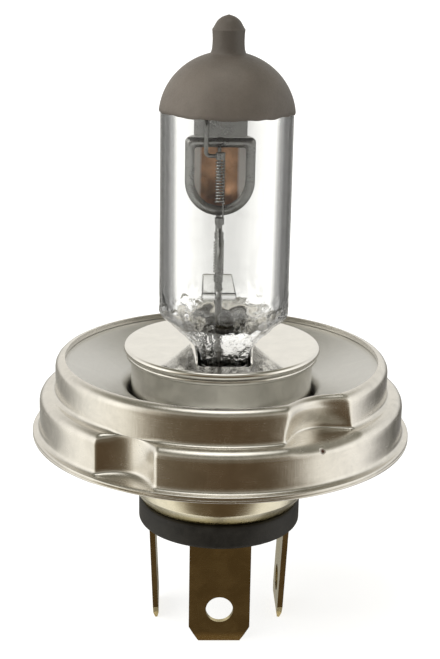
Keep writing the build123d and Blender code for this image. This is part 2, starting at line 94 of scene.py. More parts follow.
class RingSizes(bpy.types.PropertyGroup):
    """Sizes of the stepped reference ring, from the seat plane."""
    pilot: length("Pilot radius", "Upper step that enters the reflector", PILOT_MM)
    height: length("Pilot height", "Seat plane to the top of the rim", 4.2)
    skirt: length("Skirt radius", "Lower step under the seat", PILOT_MM + 2.0)
    depth: length("Skirt depth", "Seat plane to the underside of the lip", 5.6)
    lip: length("Lip radius", "Hemmed lip at the foot of the skirt", PILOT_MM + 2.9)
    lip_height: length("Lip height", "Thickness of the hemmed lip", 0.8)
    hem: length("Hem groove", "Depth of the groove between the hem's two layers", 0.14)
    sheet: length("Sheet", "Thickness of the ring's sheet", 0.7)
    opening: length("Rim opening", "Radius of the opening in the folded rim", PILOT_MM - 1.2)
    rim_bend: length("Rim bend", "Outside bend of the rim", 1.15)
    seat_bend: length("Seat bend", "Bend between the seat and the skirt", 1.25)
    foot_bend: length("Foot bend", "Hollow bend between the pilot and the seat", 0.55)
    pilot_notch: angle("Pilot notch", "Where the pilot's notch is, from the front towards +X", 32.0)
    pilot_punch: length("Pilot punch", "Radius of the punch for the pilot's notch", 5.5)
    pilot_low: length("Notch depth at the seat", "How deep the pilot's notch is at its foot", 2.7)
    pilot_high: length("Notch depth at the rim", "How deep the pilot's notch is at its top", 1.3)
    skirt_notch: angle("Skirt notch", "Where the skirt's notch is, from the front towards +X", -31.0)
    skirt_punch: length("Skirt punch", "Radius of the punch for the skirt's notch", 4.3)
    skirt_deep: length("Skirt notch depth", "How deep the skirt's notch is", 1.95)


class CollarSizes(bpy.types.PropertyGroup):
    """Sizes of the dish plate and the collar that carries the capsule."""
    brim: length("Brim radius", "Outer radius of the dish's brim", 19.75)
    cone: length("Cone radius", "Where the brim turns down into the cone", 18.85)
    hub: length("Hub radius", "Outer radius of the dish's hub tube", 11.85)
    brim_top: length("Brim height", "Brim's upper face over the seat", 3.5)
    cone_foot: length("Cone foot", "Where the cone meets the hub over the seat", 0.4)
    hub_end: length("Hub end", "Lower end of the hub tube", -3.2)
    dish_sheet: length("Dish sheet", "Thickness of the dish's sheet", 0.6)
    cap: length("Cap radius", "Outer radius of the polished cap", 12.1)
    cap_top: length("Cap height", "Cap's flat top over the seat", 5.7)
    cap_sheet: length("Cap sheet", "Thickness of the cap's sheet", 0.5)
    roll: length("Rolled edge", "Height of the cap's rolled edge", 0.9)
    slot_x: length("Slot half width", "Half the slot's width along X", 3.15)
    slot_y: length("Slot half length", "Half the slot's length along Y", 9.2)
    slot_lip: length("Slot lip", "Height of the edges turned up beside the slot", 0.8)
    sleeve: length("Sleeve radius", "Outer radius of the collar's sleeve", 11.2)
    sleeve_rim: length("Sleeve rim radius", "Radius of the sleeve's upper rim", 11.8)
    sleeve_end: length("Sleeve end", "Lower end of the sleeve", -3.0)


class CapsuleSizes(bpy.types.PropertyGroup):
    """Sizes of the quartz capsule and its coating."""
    offset: length("Capsule offset", "Capsule's axis along X from the cap's axis", 0.12)
    radius: length("Glass radius", "Outside radius of the quartz tube", 7.9)
    wall: length("Glass wall", "Thickness of the tube's wall", 1.45)
    dome: length("Dome height", "Centre of the round dome over the seat", 33.7)
    dome_rise: share("Dome rise", "Dome's height as a share of its radius", 0.945)
    shoulder: length("Shoulder height", "Where the tube starts to close", 9.8)
    pinch_top: length("Pinch top", "Where the flat pinch starts", 5.2)
    pinch_end: length("Pinch end", "Lower end of the pinch", -5.5)
    pinch_x: length("Pinch half thickness", "Half the pinch's thickness along X", 2.75)
    pinch_y: length("Pinch half width", "Half the pinch's width along Y", 6.0)
    floor: length("Cavity floor", "Floor of the cavity over the seat", 8.9)
    floor_round: length("Floor round", "Radius between the cavity's floor and wall", 2.4)
    tip: length("Tip radius", "Radius of the exhaust tip", 1.75)
    tip_top: length("Tip height", "Top of the exhaust tip over the seat", 45.35)
    coating: length("Coating", "Thickness of the opaque coating", 0.2)
    coating_edge: length("Coating edge", "Mean height of the coating's lower edge", 34.45)
    ripple: length("Pinch ripple", "Unevenness of the quartz where it was pressed", 0.2)


class BaseSizes(bpy.types.PropertyGroup):
    """Sizes of the shell under the ring and the insulator."""
    lap: length("Lap radius", "Outer radius of the shell's lapped end", 12.3)
    lap_top: length("Lap top", "Upper end of the lap", -0.8)
    lap_end: length("Lap end", "Lower end of the lap", -3.25)
    shell: length("Shell radius", "Outer radius of the shell", 11.6)
    swage: length("Swage height", "Where the shell has its own radius", -3.95)
    waist: length("Waist height", "Where the shell starts to draw in", -10.7)
    mouth: length("Mouth radius", "Outer radius of the shell's lower end", 9.85)
    mouth_z: length("Mouth height", "Lower end of the shell", -14.4)
    sheet: length("Shell sheet", "Thickness of the shell's sheet", 0.4)
    insulator: length("Insulator radius", "Radius of the black disc", 10.2)
    insulator_top: length("Insulator top", "Upper face of the black disc", -14.45)
    insulator_end: length("Insulator end", "Lower face of the black disc", -17.5)
    plug: length("Plug radius", "Part of the insulator inside the shell", 9.3)
    plug_top: length("Plug top", "Upper face of that part", -12.25)


class MountSizes(bpy.types.PropertyGroup):
    """Sizes of the dipping shield."""
    x: length("Mount offset", "Filament mount along X from the cap's axis", -0.6)
    front: length("Shield front", "Shield's open rim along Y", 0.4)
    radius: length("Shield radius", "Half the shield's width", 4.25)
    top: length("Shield top", "Shield's flat top over the seat", 31.2)
    bottom: length("Shield end", "Shield's lower end over the seat", 21.8)
    rim: length("Shield rim", "Width of the flat rim round the opening", 1.15)
    sheet: length("Shield sheet", "Thickness of the shield's sheet", 0.25)


class Finishes(bpy.types.PropertyGroup):
    """Colours of the materials."""
    ring: colour("Ring steel", "Satin plated steel of the ring", (0.80, 0.77, 0.71))
    dish: colour("Dish steel", "Pale sheet steel of the dish", (0.72, 0.715, 0.69))
    cap: colour("Polished cap", "Polished collar", (0.86, 0.84, 0.79))
    shell: colour("Shell", "Plated brass of the shell", (0.80, 0.75, 0.60))
    shell_edge: colour("Shell edge", "Shell's yellower lower edge", (0.85, 0.70, 0.30))
    brass: colour("Terminal brass", "Blade terminals", (0.62, 0.53, 0.30))
    # Painted highlight: the blades' tips are given a brighter gold than the brass.
    blade_tip_highlight: colour("Blade tips", "Bevelled tips of the blades", (0.95, 0.78, 0.40))
    # Painted highlight: the shield's inner side walls are given this pale colour in place of bright
    # reflections.
    shield_wall_highlight: colour("Shield walls", "Pale side walls inside the shield", (0.95, 0.95, 0.93))
    mark: colour("Punch mark", "Dark punch mark on the ring", (0.10, 0.05, 0.035))
    coating: colour("Coating", "Opaque coating on the glass", (0.098, 0.083, 0.068))
    resin: colour("Resin", "Black insulator", (0.012, 0.011, 0.009))
    molybdenum: colour("Molybdenum", "Shield, clamps and leads", (0.24, 0.24, 0.23))
    tint: colour("Heat tint", "Brown tint inside the shield", (0.48, 0.27, 0.15))
    solder: colour("Solder", "Solder on the terminals' feet", (0.62, 0.62, 0.60))
    fibre: colour("Sleeve fibre", "Woven sleeves on the outer leads", (0.62, 0.57, 0.46))
    floor: colour("Floor", "Pale studio floor", (0.35, 0.35, 0.348))


class StageSettings(bpy.types.PropertyGroup):
    """Camera, floor and light."""
    camera: FloatVectorProperty(name="Camera place", description="Where the camera stands",
                                default=(-0.00654, -0.17037, 0.05962), subtype="TRANSLATION", precision=5)
    yaw: angle("Yaw", "Camera's turn about the vertical", -2.109)
    pitch: angle("Pitch", "How far the camera looks down", 17.015)
    roll: angle("Roll", "Camera's turn about its own axis", 1.054)
    lens: FloatProperty(name="Lens", description="Focal length for a 36 mm sensor", default=79.05)
    floor: length("Floor radius", "Radius of the floor", 60000)
    glow: FloatProperty(name="Floor glow", description="Light that comes up through the floor", default=0.8)
    sun: FloatProperty(name="Sun", description="Strength of the soft overhead light", default=3.2)


GROUPS = {"bulb_ring": RingSizes, "bulb_collar": CollarSizes, "bulb_capsule": CapsuleSizes,
          "bulb_base": BaseSizes, "bulb_mount": MountSizes, "bulb_finish": Finishes,
          "bulb_stage": StageSettings}


# Materials
class Nodes:
    """A node tree of a material or of the world, built a node at a time."""

    def __init__(self, tree, material=None):
        self.tree, self.material = tree, material
        self.shader = tree.nodes.get("Principled BSDF")

    def add(self, kind, inputs=(), **settings):
        """A node with its settings; inputs are socket names or numbers with values or other sockets."""
        node = self.tree.nodes.new("ShaderNode" + kind)
        for name, value in settings.items():
            setattr(node, name, value)
        for name, value in dict(inputs).items():
            self.put(node, name, value)
        return node

    def put(self, node, name, value):
        """Set a socket to a value, or link another socket to it."""
        if isinstance(value, bpy.types.NodeSocket):
            self.tree.links.new(value, node.inputs[name])
        else:
            node.inputs[name].default_value = value

    def millimetres(self):
        """Object coordinates in millimetres."""
        place = self.add("TexCoord").outputs["Object"]
        return self.add("VectorMath", {0: place, "Scale": 1000.0}, operation="SCALE").outputs[0]

    def math(self, operation, *values):
        """A sum, product or other operation on values."""
        return self.add("Math", dict(enumerate(values)), operation=operation).outputs[0]

    def noise(self, vector, scale, detail=3.0, roughness=0.55, distortion=0.0):
        return self.add("TexNoise", {"Vector": vector, "Scale": scale, "Detail": detail,
                                     "Roughness": roughness, "Distortion": distortion}).outputs[0]

    def ranged(self, value, low, high, from_low=0.0, from_high=1.0):
        """A value moved from one range into another, and kept inside it."""
        return self.add("MapRange", {0: value, 1: from_low, 2: from_high, 3: low, 4: high}).outputs[0]

    def mix(self, share_of_b, a, b, blend="MIX"):
        node = self.add("Mix", data_type="RGBA", blend_type=blend)
        self.put(node, "Factor", share_of_b)
        self.put(node, 6, a)
        self.put(node, 7, b)
        return node.outputs[2]

    def bump(self, height, distance_mm, strength=1.0, normal=None):
        inputs = {"Height": height, "Distance": distance_mm / 1000, "Strength": strength}
        if normal is not None:
            inputs["Normal"] = normal
        return self.add("Bump", inputs).outputs[0]

    def finish(self, **inputs):
        """Put values on the shader's sockets, underscores standing for spaces."""
        for name, value in inputs.items():
            self.put(self.shader, name.replace("_", " "), value)
        return self.material


def new_material(name):
    """A new material's nodes."""
    material = bpy.data.materials.new(name)
    material.use_nodes = True
    return Nodes(material.node_tree, material)


def opaque(rgb, level=1.0):
    """An RGB colour at a level, with full alpha."""
    return (rgb[0] * level, rgb[1] * level, rgb[2] * level, 1.0)


def turned_lines(nodes, place, scale):
    """Fine lines that run round the Z axis, as turning or spinning leaves them."""
    parts = nodes.add("SeparateXYZ", {0: place})
    flat = nodes.add("CombineXYZ", {0: parts.outputs[0], 1: parts.outputs[1]})
    radius = nodes.add("VectorMath", {0: flat.outputs[0]}, operation="LENGTH").outputs["Value"]
    across = nodes.add("CombineXYZ", {0: radius, 1: parts.outputs[2]})
    return nodes.noise(across.outputs[0], scale, 4.0, 0.7)


def upright_lines(nodes, place, scale):
    """Fine lines that run up a wall, as deep drawing leaves them."""
    flat = nodes.add("VectorMath", {0: place, 1: (1.0, 1.0, 0.06)}, operation="MULTIPLY").outputs[0]
    return nodes.noise(flat, scale, 3.0, 0.6)


def sheet_metal(name, rgb, roughness, spread=0.08, stain=0.16, lines=9.0, line_depth=0.004,
                drawn=0.0, grain=0.0015, edge_tint_and_glint=None):
    """Metal with clouded colour and gloss, turning lines, drawing lines and fine grain."""
    nodes = new_material(name)
    place = nodes.millimetres()
    cloud = nodes.noise(place, 0.32, 5.0, 0.6, 0.6)
    speck = nodes.noise(place, 5.5, 3.0, 0.65)
    ring = turned_lines(nodes, place, lines)
    tone = nodes.mix(nodes.ranged(cloud, 0.0, 1.0, 0.35, 0.65), opaque(rgb, 1 - stain), opaque(rgb, 1.0))
    tone = nodes.mix(nodes.ranged(speck, 0.0, 0.35, 0.56, 0.8), tone, opaque(rgb, 0.72))
    # Another colour below a height: on the shell a yellower lower edge, on the blades a painted highlight
    # at their tips.
    if edge_tint_and_glint is not None:
        low, high, tint = edge_tint_and_glint
        height = nodes.add("SeparateXYZ", {0: place}).outputs[2]
        wander = nodes.math("ADD", height, nodes.ranged(cloud, -0.6, 0.6))
        tone = nodes.mix(nodes.ranged(wander, 1.0, 0.0, low, high), tone, opaque(tint))
    rough = nodes.math("ADD", nodes.ranged(cloud, roughness - spread / 2, roughness + spread / 2, 0.3, 0.7),
                       nodes.ranged(ring, -spread / 2, spread / 2, 0.3, 0.7))
    normal = nodes.bump(ring, line_depth)
    if drawn:
        normal = nodes.bump(upright_lines(nodes, place, 6.0), drawn, normal=normal)
    normal = nodes.bump(nodes.noise(place, 22.0, 2.0), grain, normal=normal)
    return nodes.finish(Base_Color=tone, Metallic=1.0, Roughness=rough, Normal=normal)


def ring_steel(rgb, mark, mark_rgb):
    """Ring's plated steel, with the small dark punch mark on its seat bend."""
    material = sheet_metal("ring_steel", rgb, roughness=0.24, spread=0.07, stain=0.14, lines=8.0,
                           line_depth=0.003, drawn=0.006)
    nodes = Nodes(material.node_tree, material)
    place = nodes.millimetres()
    gap = nodes.add("VectorMath", {0: place, 1: mark}, operation="DISTANCE").outputs["Value"]
    spot = nodes.ranged(nodes.math("ADD", gap, nodes.ranged(nodes.noise(place, 4.0), -0.15, 0.15)),
                        1.0, 0.0, 0.12, 0.42)
    colour_in = nodes.shader.inputs["Base Color"].links[0].from_socket
    rough_in = nodes.shader.inputs["Roughness"].links[0].from_socket
    normal_in = nodes.shader.inputs["Normal"].links[0].from_socket
    return nodes.finish(Base_Color=nodes.mix(spot, colour_in, opaque(mark_rgb)),
                        Roughness=nodes.math("ADD", rough_in, nodes.math("MULTIPLY", spot, 0.3)),
                        Normal=nodes.bump(spot, -0.12, normal=normal_in))


# How clear the tube's skin is painted, from where it is seen square on (0) to edge on (1): the dark bands
# are a painted reflection of the dark surroundings, with a little real absorption
PAINTED_EDGE_TONES = ((0.0, 0.62), (0.05, 0.66), (0.10, 0.92), (0.32, 0.95), (0.354, 0.60), (0.372, 0.36),
              (0.406, 0.11), (0.446, 0.09), (0.49, 0.035), (0.53, 0.018), (0.57, 0.02), (0.615, 0.03),
              (0.67, 0.014), (0.74, 0.014), (0.80, 0.03), (0.9, 0.2), (1.0, 0.4))


def quartz(name, edges=False):
    """Fused quartz: clear, a little uneven, and darker where it is seen edge on, a painted reflection of
    dark surroundings with a little real absorption.
    """
    nodes = new_material(name)
    place = nodes.millimetres()
    tone = nodes.mix(nodes.noise(place, 0.3, 3.0), (0.985, 0.985, 0.98, 1), (0.97, 0.975, 0.965, 1))
    height = nodes.add("SeparateXYZ", {0: place}).outputs[2]
    low = nodes.ranged(height, 1.0, 0.0, 8.0, 11.5)
    if edges:
        # Painted reflection: the skin's colour follows how edge on it is seen, standing in for dark
        # surroundings reflected at the tube's edges.
        facing = nodes.add("LayerWeight", {"Blend": 0.5}).outputs["Facing"]
        ramp = nodes.add("ValToRGB", {0: facing})
        fill_ramp(ramp, [(at, (clear, clear, clear * 0.985)) for at, clear in PAINTED_EDGE_TONES], 0, 1)
        tone = nodes.mix(low, ramp.outputs[0], tone)
    swell = nodes.math("MULTIPLY", nodes.noise(place, 0.9, 3.0), low)
    normal = nodes.bump(swell, 0.35)
    normal = nodes.bump(nodes.noise(place, 0.12, 1.0), 0.02, normal=normal)
    rough = nodes.ranged(nodes.noise(place, 1.6, 4.0), 0.0, 0.03, 0.55, 0.8)
    return nodes.finish(Base_Color=tone, Transmission_Weight=1.0, IOR=1.458,
                        Roughness=rough, Normal=normal)


def opaque_coating(rgb):
    """Baked-on light-stop paint with a dry, faintly grained surface."""
    nodes = new_material("opaque_coating")
    place = nodes.millimetres()
    cloud = nodes.noise(place, 0.25, 4.0, 0.6)
    speck = nodes.noise(place, 7.0, 4.0, 0.6)
    height = nodes.add("SeparateXYZ", {0: place}).outputs[2]
    tone = nodes.mix(nodes.ranged(cloud, 0.0, 1.0, 0.35, 0.65), opaque(rgb, 0.86), opaque(rgb, 1.08))
    tone = nodes.mix(nodes.ranged(speck, 0.0, 0.35, 0.5, 0.75), tone, opaque(rgb, 0.7))
    tone = nodes.mix(nodes.ranged(height, 0.0, 0.45, 39.5, 41.5), tone, opaque(rgb, 0.42))
    normal = nodes.bump(speck, 0.02)
    normal = nodes.bump(cloud, 0.25, 0.6, normal)
    return nodes.finish(Base_Color=tone, Roughness=nodes.ranged(speck, 0.42, 0.6, 0.3, 0.7), Normal=normal)


def black_resin(rgb):
    """Moulded phenolic, dark brown-black with a dull skin and fine pits."""
    nodes = new_material("black_resin")
    place = nodes.millimetres()
    cloud = nodes.noise(place, 0.5, 4.0)
    speck = nodes.noise(place, 9.0, 3.0)
    tone = nodes.mix(nodes.ranged(cloud, 0.0, 1.0, 0.3, 0.7), opaque(rgb, 0.8), opaque(rgb, 1.9))
    tone = nodes.mix(nodes.ranged(speck, 0.0, 0.5, 0.62, 0.8), tone, (0.06, 0.052, 0.04, 1))
    normal = nodes.bump(speck, 0.025)
    normal = nodes.bump(turned_lines(nodes, place, 2.2), 0.03, normal=normal)
    return nodes.finish(Base_Color=tone, Roughness=nodes.ranged(cloud, 0.4, 0.58), Specular_IOR_Level=0.25,
                        Normal=normal)


def shield_inside(rgb, plain, centre_x, half):
    """Heat-tinted floor of the shield between side walls painted pale and non-metallic, a painted highlight
    for the bright reflections there.
    """
    nodes = new_material("shield_inside")
    place = nodes.millimetres()
    across = nodes.add("SeparateXYZ", {0: place}).outputs[0]
    off = nodes.math("ABSOLUTE", nodes.math("SUBTRACT", across, centre_x))
    # Painted highlight: the side walls turn pale and non-metallic, standing in for bright reflections
    # there.
    side = nodes.ranged(off, 0.0, 1.0, half * 0.52, half * 0.6)
    cloud = nodes.noise(place, 0.7, 4.0)
    tone = nodes.mix(nodes.ranged(cloud, 0.0, 1.0, 0.35, 0.65), opaque(rgb, 0.65), opaque(rgb, 1.25))
    tone = nodes.mix(side, tone, opaque(plain))
    rough = nodes.ranged(cloud, 0.3, 0.5)
    return nodes.finish(Base_Color=tone, Metallic=nodes.ranged(side, 1.0, 0.0), Roughness=rough,
                        Normal=nodes.bump(nodes.noise(place, 5.0, 3.0), 0.02))


def woven_fibre(rgb):
    """Woven glass-fibre sleeve."""
    nodes = new_material("sleeve_fibre")
    place = nodes.millimetres()
    slant = nodes.add("Mapping", {"Vector": place, "Rotation": (0.6, 0.4, 0.8)})
    weave = nodes.add("TexWave", {"Vector": slant.outputs[0], "Scale": 1.6, "Distortion": 2.0,
                                  "Detail": 3.0}).outputs[1]
    tone = nodes.mix(weave, opaque(rgb, 0.6), opaque(rgb, 1.0))
    return nodes.finish(Base_Color=tone, Roughness=nodes.ranged(weave, 0.7, 0.9),
                        Normal=nodes.bump(weave, 0.05))


# How gently the punched notches run out into the round walls
PILOT_NOTCH_SOFT, SKIRT_NOTCH_SOFT = 0.0018, 0.0022
# Seed of the folds in the pressed quartz, so that each run makes the same ones
FOLD_SEED = 7


# Shapes
def piece(name, mesh_or_bm, material, slot, *nodes):
    """Make an object of a mesh, give it its material, and put it in the frame."""
    if isinstance(mesh_or_bm, bmesh.types.BMesh):
        mesh = bpy.data.meshes.new(name)
        mesh_or_bm.to_mesh(mesh)
        mesh_or_bm.free()
    else:
        mesh = mesh_or_bm
    mesh.shade_smooth()
    made = bpy.data.objects.new(name, mesh)
    bpy.context.scene.collection.objects.link(made)
    for each in material if isinstance(material, tuple) else (material,):
        mesh.materials.append(each)
    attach(made, BODY)
    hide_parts(*nodes)
    return made


def weighted(made):
    """Let large faces steer the shading at bevels."""
    modifier = made.modifiers.new("Shading", "WEIGHTED_NORMAL")
    modifier.weight = 70
    return made


def outline(points, closed, segments, longest):
    """A bmesh holding one outline of (radius, height, rounding) corners in the XZ plane."""
    bm = bmesh.new()
    corners = [bm.verts.new((r, 0, z)) for r, z, _ in points]
    for start, end in zip(corners, corners[1:] + (corners[:1] if closed else [])):
        bm.edges.new((start, end))
    for corner, (_, _, rounding) in zip(corners, points):
        if rounding:
            bmesh.ops.bevel(bm, geom=[corner], offset=rounding, offset_type="OFFSET", segments=segments,
                            profile=0.5, affect="VERTICES", material=-1)
    for _ in range(6):
        long = [edge for edge in bm.edges if edge.calc_length() > longest]
        if not long:
            break
        bmesh.ops.subdivide_edges(bm, edges=long, cuts=1)
    return bm


def turned(points, closed=True, steps=256, segments=5, longest=1.0, angle=2 * pi):
    """Spin an outline about the Z axis into a closed skin."""
    bm = outline(points, closed, segments, longest)
    full = angle > 2 * pi - 1e-6
    bmesh.ops.spin(bm, geom=bm.verts[:] + bm.edges[:], cent=(0, 0, 0), axis=(0, 0, 1), dvec=(0, 0, 0),
                   angle=angle, steps=steps, use_merge=full)
    bmesh.ops.remove_doubles(bm, verts=bm.verts, dist=1e-6)
    bmesh.ops.dissolve_degenerate(bm, edges=bm.edges, dist=1e-7)
    bmesh.ops.recalc_face_normals(bm, faces=bm.faces)
    return bm


def blended(value, low, high):
    """Smooth step from 0 at low to 1 at high."""
    t = min(1.0, max(0.0, (value - low) / (high - low)))
    return t * t * (3 - 2 * t)


def softer_low(a, b, width):
    """The lower of two values, rounded over where they cross."""
    h = min(1.0, max(0.0, 0.5 + 0.5 * (b - a) / width))
    return b + (a - b) * h - width * h * (1 - h)


def punched(turn, radius, depth, punch, soft):
    """How far a round punch presses a wall of that radius inwards, at that turn from its centre."""
    if depth <= 0 or abs(turn) > pi / 3:
        return 0.0
    centre = radius - depth + punch
    across = centre * sin(turn)
    if abs(across) >= punch:
        return 0.0
    wall = centre * cos(turn) - sqrt(punch ** 2 - across ** 2)
    return max(0.0, radius - softer_low(radius, wall, soft))


def angle_from(turn, centre):
    """Turn from a centre, between half a turn back and half a turn on."""
    return (turn - centre + pi) % (2 * pi) - pi


def front_turn(place):
    """Angle of a place from the -Y direction towards +X."""
    return atan2(place.x, -place.y)


def pilot_dent(ring, turn, height):
    """How far the pilot's notch presses the wall in at a turn and a height."""
    level = min(1.0, max(0.0, height / ring.height))
    depth = ring.pilot_low + (ring.pilot_high - ring.pilot_low) * level
    return punched(angle_from(turn, ring.pilot_notch), ring.pilot, depth, ring.pilot_punch,
                   PILOT_NOTCH_SOFT)


def ring_mesh(ring):
    """Ring's folded sheet with its two punched notches."""
    r, sheet, low = ring, ring.sheet, -ring.depth
    lip_top = low + r.lip_height
    groove = low + r.lip_height * 0.48
    half_groove = r.lip_height * 0.1
    bm = turned([
        (r.skirt - sheet, low, 0), (r.lip, low, 0.00022), (r.lip, groove - half_groove, CRISP),
        (r.lip - r.hem, groove, 0), (r.lip, groove + half_groove, CRISP), (r.lip, lip_top, 0.00028),
        (r.skirt, lip_top, 0.00075), (r.skirt, 0, r.seat_bend), (r.pilot, 0, r.foot_bend),
        (r.pilot, r.height, r.rim_bend), (r.opening, r.height, 0.00025),
        (r.opening, r.height - sheet, CRISP), (r.pilot - sheet, r.height - sheet, CRISP),
        (r.pilot - sheet, -sheet, CRISP), (r.skirt - sheet, -sheet, 2 * CRISP)],
        steps=540, longest=0.0005)
    for vert in bm.verts:
        turn, radius, z = front_turn(vert.co), hypot(vert.co.x, vert.co.y), vert.co.z
        inside = radius < r.skirt - sheet / 2 and z < -sheet / 2
        out = min(1.0, max(0.0, (radius + sheet * inside - r.pilot) / (r.skirt - r.pilot)))
        dent = (1 - out) * pilot_dent(r, turn, z)
        skirt = punched(angle_from(turn, r.skirt_notch), r.skirt, r.skirt_deep, r.skirt_punch,
                        SKIRT_NOTCH_SOFT)
        lip = min(1.0, max(0.0, (radius - r.skirt) / (r.lip - r.skirt)))
        dent += out * (1 - lip) * skirt
        scale = (radius - dent) / radius
        vert.co.x *= scale
        vert.co.y *= scale
    return bm


def dish_mesh(s, ring):
    """Dish plate: flat brim, cone and hub tube, pressed in where the pilot's notch is."""
    sheet = s.dish_sheet
    bm = turned([
        (s.brim, s.brim_top, 0), (s.cone, s.brim_top, 0.0008),
        (s.hub - sheet + 0.0005, s.cone_foot + 0.0002, 0.0009), (s.hub - sheet, s.hub_end, CRISP),
        (s.hub, s.hub_end, CRISP), (s.hub, s.cone_foot - sheet, 0.0009),
        (s.cone, s.brim_top - sheet, 0.0006), (s.brim, s.brim_top - sheet, CRISP)],
        steps=256, longest=0.0009)
    for vert in bm.verts:
        radius = hypot(vert.co.x, vert.co.y)
        push = blended(radius, s.cone - 0.0004, s.brim)
        if push:
            dent = push * pilot_dent(ring, front_turn(vert.co), vert.co.z)
            vert.co.x *= (radius - dent) / radius
            vert.co.y *= (radius - dent) / radius
    return bm


def box_reach(turn_x, turn_y, half_x, half_y, rounding):
    """Distance from the centre of a rounded rectangle to its edge, in a unit direction."""
    ax, ay = abs(turn_x), abs(turn_y)
    reach = min(half_x / ax if ax > 1e-9 else 1e9, half_y / ay if ay > 1e-9 else 1e9)
    cx, cy = half_x - rounding, half_y - rounding
    if ax * reach > cx and ay * reach > cy:
        along = ax * cx + ay * cy
        reach = along + sqrt(max(0.0, along ** 2 - cx ** 2 - cy ** 2 + rounding ** 2))
    return reach


def cap_mesh(s):
    """Polished cap with its rolled edge and the slot's turned-up lips."""
    top, under, roll = s.cap_top, s.cap_top - s.cap_sheet, s.roll
    hole, flat, tube = 0.002, s.cap - roll / 2, s.sleeve + GAP
    lip, step, corner = 0.0004, 0.00003, 0.0008
    bm = turned([
        (hole, under, 0), (hole, top, CRISP), (hole + lip - step, top, CRISP), (hole + lip, top, 0),
        (hole + 2 * lip, top, 0), (s.cap, top, roll * 0.47), (s.cap, top - roll, roll * 0.47),
        (tube, top - roll, 0), (tube, under, CRISP)], steps=400, segments=8, longest=0.0007)
    for vert in bm.verts:
        radius = hypot(vert.co.x, vert.co.y)
        if radius >= flat:
            continue
        unit_x, unit_y = vert.co.x / radius, vert.co.y / radius
        edge = box_reach(unit_x, unit_y, s.slot_x, s.slot_y, corner)
        near = hole + 2 * lip
        if radius <= near:
            moved = edge + (radius - hole)
        else:
            moved = edge + near - hole + (radius - near) / (flat - near) * (flat - edge - near + hole)
        vert.co.x, vert.co.y = unit_x * moved, unit_y * moved
        if radius < hole + lip - step / 2 and vert.co.z > (top + under) / 2:
            along = blended(abs(vert.co.y), s.slot_y - 0.0016, s.slot_y - 0.0010)
            vert.co.z += s.slot_lip * (1 - along)
    return bm


def sleeve_mesh(s):
    """Collar's sleeve with the flange under the cap's rolled edge."""
    under = s.cap_top - s.roll - GAP
    rim, flange = 0.00065, 0.00025
    inner, top = s.sleeve - s.cap_sheet, s.cap_top - s.cap_sheet - GAP
    return turned([
        (inner, s.sleeve_end, CRISP), (s.sleeve, s.sleeve_end, CRISP), (s.sleeve, under - rim, CRISP),
        (s.sleeve_rim, under - rim, flange), (s.sleeve_rim, under, flange), (s.sleeve, under, CRISP),
        (s.sleeve, top, 0), (inner, top, 0)], steps=256)


def tip_points(s, extra, from_height):
    """Outline of the dome and exhaust tip down to a height, grown by extra."""
    radius, centre = s.radius + extra, s.dome
    neck = s.tip + extra
    points, count = [], 22
    flare = neck * 1.08
    stop = atan2(sqrt(radius ** 2 - flare ** 2), flare)
    start = atan2(from_height - centre, sqrt(radius ** 2 - (from_height - centre) ** 2))
    for i in range(count + 1):
        turn = start + (stop - start) * i / count
        points.append((radius * cos(turn), centre + s.dome_rise * radius * sin(turn), 0))
    base = centre + s.dome_rise * radius * sin(stop)
    top = s.tip_top + extra
    points += [(neck * 0.99, base + 0.0004, 0.0003), (neck * 0.94, base + (top - base) * 0.42, 0.0008),
               (neck, base + (top - base) * 0.62, 0.0008), (neck * 0.94, top - neck * 0.8, 0.0007),
               (neck * 0.6, top - neck * 0.2, 0.0006), (0, top, 0)]
    return points


def envelope_mesh(s):
    """Quartz capsule: turned outside, flattened into the pinch, with a turned cavity in it."""
    noise.seed_set(FOLD_SEED)
    pinch_corner, folds = 0.0009, 900
    skin = [(0, s.pinch_end, 0), (s.radius, s.pinch_end, 0.0006), (s.radius, s.shoulder, 0)]
    bm = turned(skin + tip_points(s, 0, s.dome), closed=False, steps=192, longest=0.0006)
    inner = s.radius - s.wall
    quarter = 20
    dome = [(inner * cos(t), s.dome + s.dome_rise * inner * sin(t), 0)
            for t in (i * pi / 2 / quarter for i in range(1, quarter))]
    hollow = turned([(0, s.floor, 0), (inner, s.floor, s.floor_round), (inner, s.dome, 0)] + dome
                    + [(0, s.dome + s.dome_rise * inner, 0)],
                    closed=False, steps=160, segments=10, longest=0.0006)
    bmesh.ops.reverse_faces(hollow, faces=hollow.faces)
    for face in hollow.faces:
        face.material_index = 1
    for vert in bm.verts:
        flatten = min(1.0, max(0.0, (s.shoulder - vert.co.z) / (s.shoulder - s.pinch_top)))
        radius = hypot(vert.co.x, vert.co.y)
        if flatten and radius > 1e-6:
            reach = box_reach(vert.co.x / radius, vert.co.y / radius, s.pinch_x, s.pinch_y,
                              pinch_corner)
            scale = 1 + flatten * (reach / s.radius - 1)
            vert.co.x *= scale
            vert.co.y *= scale
    for mesh in (bm, hollow):
        for vert in mesh.verts:
            uneven = s.ripple * (1 - blended(vert.co.z, s.shoulder, s.shoulder + 0.004))
            uneven *= blended(vert.co.z, s.pinch_top - 0.002, s.pinch_top)
            if uneven:
                vert.co += uneven * noise.noise_vector(vert.co * folds)
    joined = bpy.data.meshes.new("hollow")
    hollow.to_mesh(joined)
    hollow.free()
    bm.from_mesh(joined)
    bpy.data.meshes.remove(joined)
    bmesh.ops.translate(bm, verts=bm.verts, vec=(s.offset, 0, 0))
    return bm


